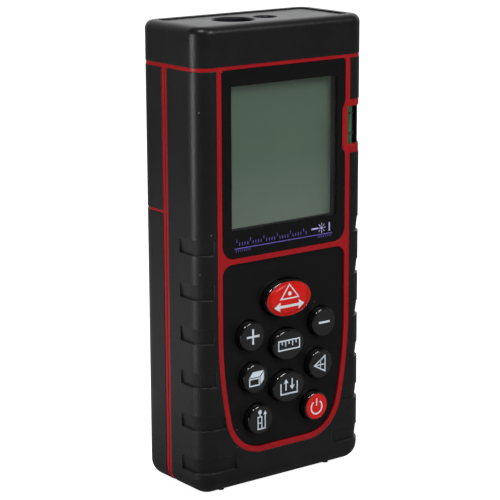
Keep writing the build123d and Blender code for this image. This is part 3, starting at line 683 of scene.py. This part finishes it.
def bar_row_tree():
    """Bars set along a line: count, pitch, first centre and bar size are inputs."""
    tree = bpy.data.node_groups.new("Bar Row", "GeometryNodeTree")
    for label, kind in (
        ("Count", "NodeSocketInt"),
        ("Start", "NodeSocketVector"),
        ("Pitch", "NodeSocketVector"),
        ("Size", "NodeSocketVector"),
        ("Finish", "NodeSocketMaterial"),
    ):
        tree.interface.new_socket(label, in_out="INPUT", socket_type=kind)
    tree.interface.new_socket("Geometry", in_out="OUTPUT", socket_type="NodeSocketGeometry")
    source = tree.nodes.new("NodeGroupInput")
    line = tree.nodes.new("GeometryNodeMeshLine")
    line.mode = "OFFSET"
    tree.links.new(source.outputs["Count"], line.inputs["Count"])
    tree.links.new(source.outputs["Start"], line.inputs["Start Location"])
    tree.links.new(source.outputs["Pitch"], line.inputs["Offset"])
    bar = tree.nodes.new("GeometryNodeMeshCube")
    tree.links.new(source.outputs["Size"], bar.inputs["Size"])
    copies = tree.nodes.new("GeometryNodeInstanceOnPoints")
    tree.links.new(line.outputs["Mesh"], copies.inputs["Points"])
    tree.links.new(bar.outputs["Mesh"], copies.inputs["Instance"])
    real = tree.nodes.new("GeometryNodeRealizeInstances")
    tree.links.new(copies.outputs["Instances"], real.inputs["Geometry"])
    paint = tree.nodes.new("GeometryNodeSetMaterial")
    tree.links.new(real.outputs["Geometry"], paint.inputs["Geometry"])
    tree.links.new(source.outputs["Finish"], paint.inputs["Material"])
    sink = tree.nodes.new("NodeGroupOutput")
    tree.links.new(paint.outputs["Geometry"], sink.inputs["Geometry"])
    return tree


BAR_ROW = bar_row_tree()


def bar_row(name, count, start, pitch, size, material, bevel=0.0):
    """A row of bars as one plain mesh on the housing; sizes in millimetres."""
    holder = bpy.data.objects.new(name, bpy.data.meshes.new(name + "_seed"))
    bpy.context.scene.collection.objects.link(holder)
    row = holder.modifiers.new("row", "NODES")
    row.node_group = BAR_ROW
    values = {
        "Count": count,
        "Start": [v * MM for v in start],
        "Pitch": [v * MM for v in pitch],
        "Size": [v * MM for v in size],
        "Finish": material,
    }
    for item in BAR_ROW.interface.items_tree:
        if item.in_out == "INPUT":
            row[item.identifier] = values[item.name]
    if bevel:
        edge = holder.modifiers.new("edge", "BEVEL")
        edge.width = bevel * MM
        edge.segments = 2
    ready = holder.evaluated_get(bpy.context.evaluated_depsgraph_get())
    mesh = bpy.data.meshes.new_from_object(ready)
    holder.modifiers.clear()
    holder.data = mesh
    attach(holder, "housing")


# ------------------------------------------------------------------ print on the window

WINDOW_PRINT = 0.012
BAR_SINK = 0.01
RULE_Z = 60.5
SCALE_Z = 61.2
SCALE_START = -14.4
BURST_X, BURST_Z = 11.2, 62.1
BURST_INNER, BURST_OUTER = 0.62, 1.25

pane_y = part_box("window_mask")[0][1] / MM


def on_pane(x, z):
    """The pane's front surface."""
    return pane_y


rule = stroke([(-15.1, RULE_Z), (14.5, RULE_Z)], 0.22)
printed("window_rule", rule, on_pane, PRINT_PURPLE, "housing", WINDOW_PRINT)
for name, count, start, low, pitch, width, height in (
    ("window_ticks_left", 8, -14.6, RULE_Z - 0.85, 0.58, 0.13, 0.6),
    ("window_ticks_right", 8, 10.1, RULE_Z - 0.85, 0.58, 0.13, 0.6),
    ("scale_marks", 27, SCALE_START, SCALE_Z, 0.8, 0.2, 0.75),
    ("scale_fives", 6, SCALE_START, SCALE_Z, 4.0, 0.2, 1.5),
):
    first = (start, pane_y - BAR_SINK, low + height / 2)
    bar_row(name, count, first, (pitch, 0, 0), (width, WINDOW_PRINT, height), PRINT_PURPLE)

beam = filled(ring(BURST_X, BURST_Z, 0.38, count=20)[:-1])
for turn in range(0, 360, 45):
    across, up = cos(radians(turn)), sin(radians(turn))
    beam += stroke(
        [(BURST_X + r * across, BURST_Z + r * up) for r in (BURST_INNER, BURST_OUTER)], 0.2
    )
beam += stroke([(8.0, BURST_Z), (10.0, BURST_Z)], 0.42)
beam += stroke([(13.6, BURST_Z - 1.1), (13.6, BURST_Z + 1.1)], 0.42)
printed("beam_target", beam, on_pane, PRINT_LILAC, "housing", WINDOW_PRINT)

# ------------------------------------------------------------------ print on the back label

LABEL_PRINT = 0.01
SIGN_HALF = 0.9
MINUS_X, PLUS_X, SIGN_Z = -12.0, -7.6, 86.3

label_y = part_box("rating_label")[1][1] / MM


def on_label(x, z):
    """The rating label's face."""
    return label_y


level = stroke([(-SIGN_HALF, 0), (SIGN_HALF, 0)], 0.4)
upright = stroke([(0, -SIGN_HALF), (0, SIGN_HALF)], 0.4)
cell_icon = stroke([(-14.0, 84.0), (-5.6, 84.0), (-5.6, 88.6), (-14.0, 88.6)], 0.4, True)
cell_icon += filled([(-5.4, 85.3), (-4.6, 85.3), (-4.6, 87.3), (-5.4, 87.3)])
cell_icon += moved(level + upright, PLUS_X, SIGN_Z)
cell_icon += moved(level, MINUS_X, SIGN_Z)
border = stroke([(-16.2, 74.8), (16.2, 74.8), (16.2, 97.2), (-16.2, 97.2)], 0.22, True)
for name, outlines in (("label_cell_icon", cell_icon), ("label_border", border)):
    printed(name, outlines, on_label, PRINT_BLACK, "housing", LABEL_PRINT, 1.0)
lowest_line = (5.4, label_y + 0.008, 79.0)
bar_row("label_grid", 5, lowest_line, (0, 0, 3.3), (18.0, 0.012, 0.16), PRINT_BLACK)

# ------------------------------------------------------------------ board: small parts

RESISTOR_LONG, RESISTOR_SHORT, RESISTOR_THICK = 1.0, 0.55, 0.5
RESISTOR_OFF_BOARD = 0.28
LEG_SIZE = (0.75, 0.22, 0.28)
LEG_PITCH = 0.65
LEG_REACH = 0.35
LEG_OFF_BOARD = 0.12
LEG_MARGIN = 0.6

board_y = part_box("main_board")[1][1] / MM
for name, count, (x, z), (pitch_x, pitch_z) in (
    ("resistors_a", 9, (-13.0, 78.0), (0, 2.1)),
    ("resistors_b", 7, (6.0, 74.0), (1.6, 0)),
    ("resistors_c", 8, (-13.5, 44.0), (0, 1.9)),
    ("resistors_d", 6, (3.0, 56.4), (1.7, 0)),
):
    size = (RESISTOR_SHORT, RESISTOR_THICK, RESISTOR_LONG)
    if pitch_z:
        size = size[::-1]
    first = (x, board_y + RESISTOR_OFF_BOARD, z)
    bar_row(name, count, first, (pitch_x, 0, pitch_z), size, CERAMIC, bevel=0.06)


def box_in_mm(node):
    """The low and high corners of a part's box, in millimetres."""
    return tuple(tuple(v / MM for v in corner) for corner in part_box(node))


for label in ("processor_chip", "memory_chip", "regulator_chip"):
    low, high = box_in_mm(label)
    count = int((high[2] - low[2] - LEG_MARGIN) / LEG_PITCH)
    for side, x in (("left", low[0] - LEG_REACH), ("right", high[0] + LEG_REACH)):
        first = (x, board_y + LEG_OFF_BOARD, low[2] + LEG_MARGIN)
        legs = f"{label}_legs_{side}"
        bar_row(legs, count, first, (0, 0, LEG_PITCH), LEG_SIZE, SOLDER, bevel=0.04)

# ------------------------------------------------------------------ vial marks

BAND_GAP = 0.005
VIAL_MARKS = (84.3, 89.2)
VIAL_MARK_HALF = 0.17
GOLD_NEAR, GOLD_FAR = 2.0, 14.0


def band(name, tube, low, high, material, rise, around):
    """A thin printed ring round an upright tube, given as its centre and radius."""
    x, y, radius = tube
    verts, faces = [], []
    for z in (low, high):
        for r in (radius + BAND_GAP, radius + rise):
            verts += [
                (x + r * cos(2 * pi * i / around), y + r * sin(2 * pi * i / around), z)
                for i in range(around)
            ]
    inner0, outer0, inner1, outer1 = 0, around, 2 * around, 3 * around
    for i in range(around):
        j = (i + 1) % around
        faces.append([inner0 + i, inner0 + j, inner1 + j, inner1 + i])
        faces.append([outer0 + i, outer1 + i, outer1 + j, outer0 + j])
        faces.append([inner0 + i, outer0 + i, outer0 + j, inner0 + j])
        faces.append([inner1 + i, inner1 + j, outer1 + j, outer1 + i])
    place(name, verts, faces, material, "housing")


def tube_of(low, high):
    """The centre and radius of an upright tube in its box."""
    return (low[0] + high[0]) / 2, (low[1] + high[1]) / 2, (high[0] - low[0]) / 2


vial = tube_of(*box_in_mm("vial_tube"))
for i, z in enumerate(VIAL_MARKS):
    low, high = z - VIAL_MARK_HALF, z + VIAL_MARK_HALF
    band(f"vial_mark_{i + 1}", vial, low, high, PRINT_BLACK, 0.03, 48)

# ------------------------------------------------------------------ cells

for label, upright_cell in (("battery_left", True), ("battery_right", False)):
    low, high = box_in_mm(label)
    if upright_cell:
        gold_low, gold_high = high[2] - GOLD_FAR, high[2] - GOLD_NEAR
    else:
        gold_low, gold_high = low[2] + GOLD_NEAR, low[2] + GOLD_FAR
    brass = FINISH["brass_barrel"]
    band(f"{label}_band", tube_of(low, high), gold_low, gold_high, brass, 0.04, 64)

# ------------------------------------------------------------------ stage

FLOOR_HALF = 3
FLOOR_WHITE = (0.90, 0.90, 0.90)
FLOOR_IN_FRONT = (0.22, 0.22, 0.22)
FLOOR_FAR_OFF = (0.16, 0.16, 0.16)
TOWARD_BACK = (0.59, 0.81, 0.0)

floor_mesh = bpy.data.meshes.new("floor")
floor_mesh.from_pydata(
    [(x * FLOOR_HALF, y * FLOOR_HALF, 0) for x, y in ((-1, -1), (1, -1), (1, 1), (-1, 1))],
    [],
    [(0, 1, 2, 3)],
)
floor = bpy.data.objects.new("floor", floor_mesh)
bpy.context.scene.collection.objects.link(floor)


def floor_finish():
    """White as it is seen; mirrored in the body, it is dimmer to the front and farther out."""
    material = surface("pale floor", FLOOR_WHITE, 0.9, vary=0.01, relief=0.0, grain=50.0)
    tree = material.node_tree
    shader = tree.nodes["Principled BSDF"]
    paths = tree.nodes.new("ShaderNodeLightPath")
    lit = math_node(tree, "MULTIPLY", paths.outputs["Is Camera Ray"], 0.95)
    ground = tree.nodes.new("ShaderNodeTexCoord").outputs["Object"]
    spot = tree.nodes.new("ShaderNodeSeparateXYZ")
    tree.links.new(ground, spot.inputs[0])
    behind = math_node(tree, "SUBTRACT", spot.outputs["Y"], spot.outputs["X"])
    behind = ramp_node(tree, behind, 0.0, 0.2)
    mirrored = mix_colour(tree, behind, FLOOR_IN_FRONT, FLOOR_WHITE)
    reach = tree.nodes.new("ShaderNodeVectorMath")
    reach.operation = "LENGTH"
    tree.links.new(ground, reach.inputs[0])
    far = ramp_node(tree, reach.outputs["Value"], 0.10, 0.45)
    mirrored = mix_colour(tree, far, mirrored, FLOOR_FAR_OFF)
    paint = mix_colour(tree, paths.outputs["Is Glossy Ray"], FLOOR_WHITE, mirrored)
    tree.links.new(paint, shader.inputs["Base Color"])
    shader.inputs["Emission Color"].default_value = (1, 1, 1, 1)
    tree.links.new(lit, shader.inputs["Emission Strength"])
    return material


floor_mesh.materials.append(floor_finish())

world = bpy.data.worlds.new("studio")
bpy.context.scene.world = world
world.use_nodes = True
sky = world.node_tree
toward = sky.nodes.new("ShaderNodeTexCoord")
facing_back = sky.nodes.new("ShaderNodeVectorMath")
facing_back.operation = "DOT_PRODUCT"
facing_back.inputs[1].default_value = TOWARD_BACK
sky.links.new(toward.outputs["Generated"], facing_back.inputs[0])
glow = ramp_node(sky, facing_back.outputs["Value"], 0.15, 0.85)
glow = math_node(sky, "MULTIPLY", glow, 0.85)
glow = math_node(sky, "ADD", glow, 0.03)
seen = sky.nodes.new("ShaderNodeLightPath").outputs["Is Camera Ray"]
glow = math_node(sky, "MAXIMUM", glow, seen)
sky.links.new(glow, sky.nodes["Background"].inputs["Strength"])
sky.nodes["Background"].inputs["Color"].default_value = (1, 1, 1, 1)


def soft_light(name, spot, aim, size, power):
    """A square area light aimed at a point."""
    data = bpy.data.lights.new(name, "AREA")
    data.energy = power
    data.size = size
    thing = bpy.data.objects.new(name, data)
    thing.location = spot
    thing.rotation_euler = (Vector(aim) - Vector(spot)).to_track_quat("-Z", "Y").to_euler()
    bpy.context.scene.collection.objects.link(thing)


soft_light("side_light", (-0.80, 0.16, 0.01), (0, 0, 0.03), 0.16, 3.6)
soft_light("front_light", (0.30, -0.90, 0.65), (0, 0, 0.05), 0.30, 5.1)
soft_light("rim_light", (-0.33, -0.30, 0.85), (0, 0, 0.06), 0.14, 3.5)

CAMERA_LENS = 138.23
CAMERA_SPOT = (-0.2762, -0.36358, 0.16305)
CAMERA_AZIMUTH, CAMERA_ELEVATION, CAMERA_ROLL = -37.031, 13.188, -0.228

camera_data = bpy.data.cameras.new("camera")
camera_data.lens = CAMERA_LENS
camera_data.sensor_width = 36.0
camera_data.clip_start = 0.01
camera = bpy.data.objects.new("camera", camera_data)
bpy.context.scene.collection.objects.link(camera)
turn = (
    Matrix.Rotation(radians(CAMERA_AZIMUTH), 4, "Z")
    @ Matrix.Rotation(radians(90) - radians(CAMERA_ELEVATION), 4, "X")
    @ Matrix.Rotation(radians(CAMERA_ROLL), 4, "Z")
)
camera.matrix_world = Matrix.Translation(CAMERA_SPOT) @ turn
bpy.context.scene.camera = camera
bpy.context.scene.view_settings.view_transform = "Standard"
